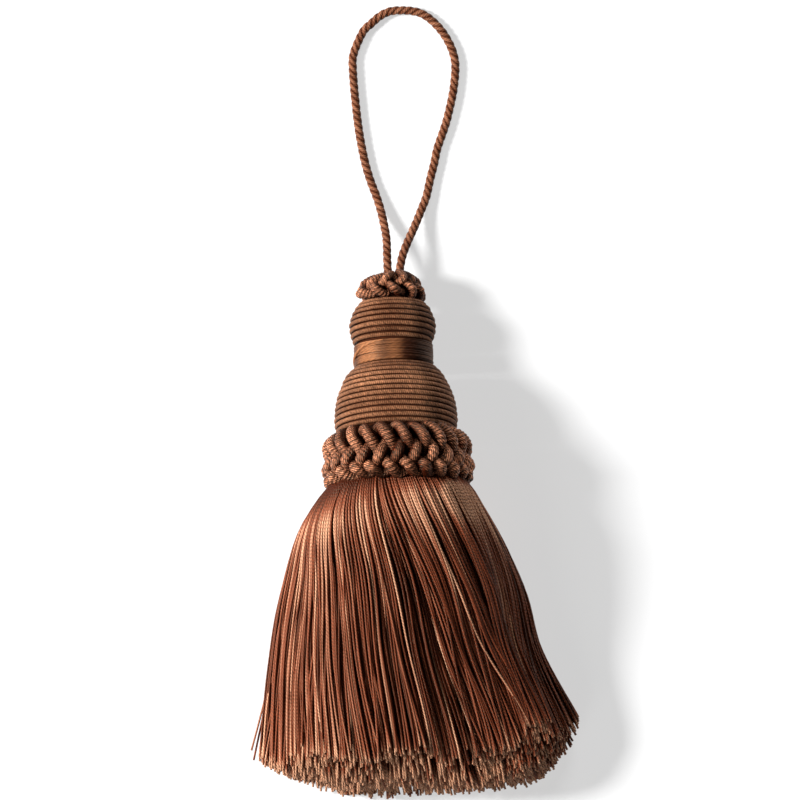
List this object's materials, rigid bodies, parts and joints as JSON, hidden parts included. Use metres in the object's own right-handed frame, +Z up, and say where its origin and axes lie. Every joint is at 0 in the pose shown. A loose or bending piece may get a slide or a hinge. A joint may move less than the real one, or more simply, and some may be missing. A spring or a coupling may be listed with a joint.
{
  "type": "tassel",
  "caption": "Corded tassel lying on its side: hanging loop, knotted top, two cord-wound bulbs, floss waist, braided collar and a long thread skirt.",
  "frame": {"origin": "on the surface it lies on, under the middle of the box of head, collar and skirt (without the hanging loop)", "axes": "+Y along the tassel from the skirt's ends towards the head and loop, +Z up off the surface, +X across the skirt"},
  "size_m": [0.0574, 0.1421, 0.027],
  "materials": {
    "cord": "matte",
    "gimp": "matte",
    "floss": "satin",
    "thread": "satin"
  },
  "bodies": {
    "root": {"loop_cord": "cord", "top_ruff": "cord", "upper_bulb": "gimp", "waist_band": "floss", "lower_bulb": "gimp", "collar": "cord", "skirt": "thread"}
  },
  "joints": []
}
